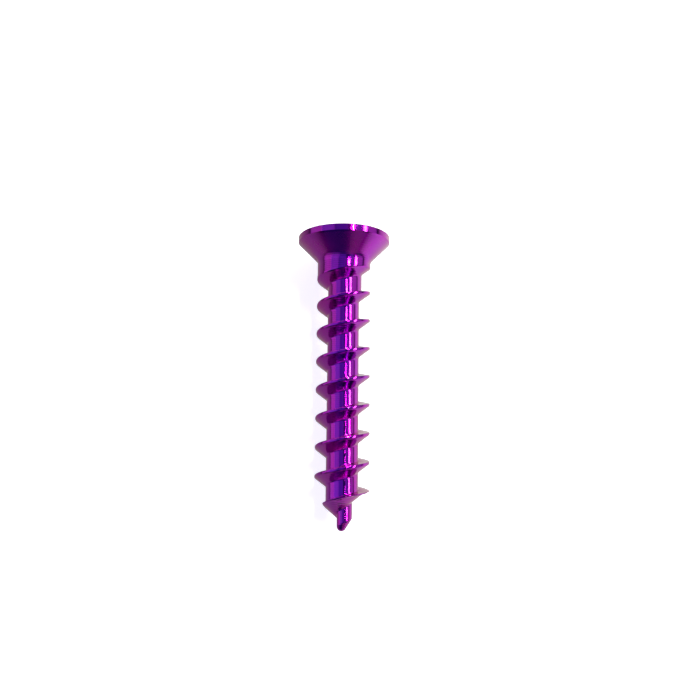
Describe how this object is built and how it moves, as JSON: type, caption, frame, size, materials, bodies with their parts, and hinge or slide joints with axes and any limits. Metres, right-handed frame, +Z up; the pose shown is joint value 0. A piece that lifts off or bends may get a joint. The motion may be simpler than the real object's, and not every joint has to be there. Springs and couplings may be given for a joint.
{
  "type": "bone screw",
  "caption": "Small countersunk bone screw with a coarse self-tapping buttress thread, a tapered point and a cross recess, in violet anodised titanium.",
  "frame": {"origin": "on the table, under the middle of the bounding box of the screw as it lies", "axes": "+Z up from the table; the screw lies along Y with its head towards +Y, its axis 4.6 degrees off level because it rests on the rim of its head and on the last full crest of its thread"},
  "size_m": [0.0034, 0.011, 0.0035],
  "materials": {
    "anodised_titanium": "bright violet anodised titanium with fine turning marks"
  },
  "bodies": {
    "root": {"bone_screw": "anodised_titanium"}
  },
  "joints": []
}
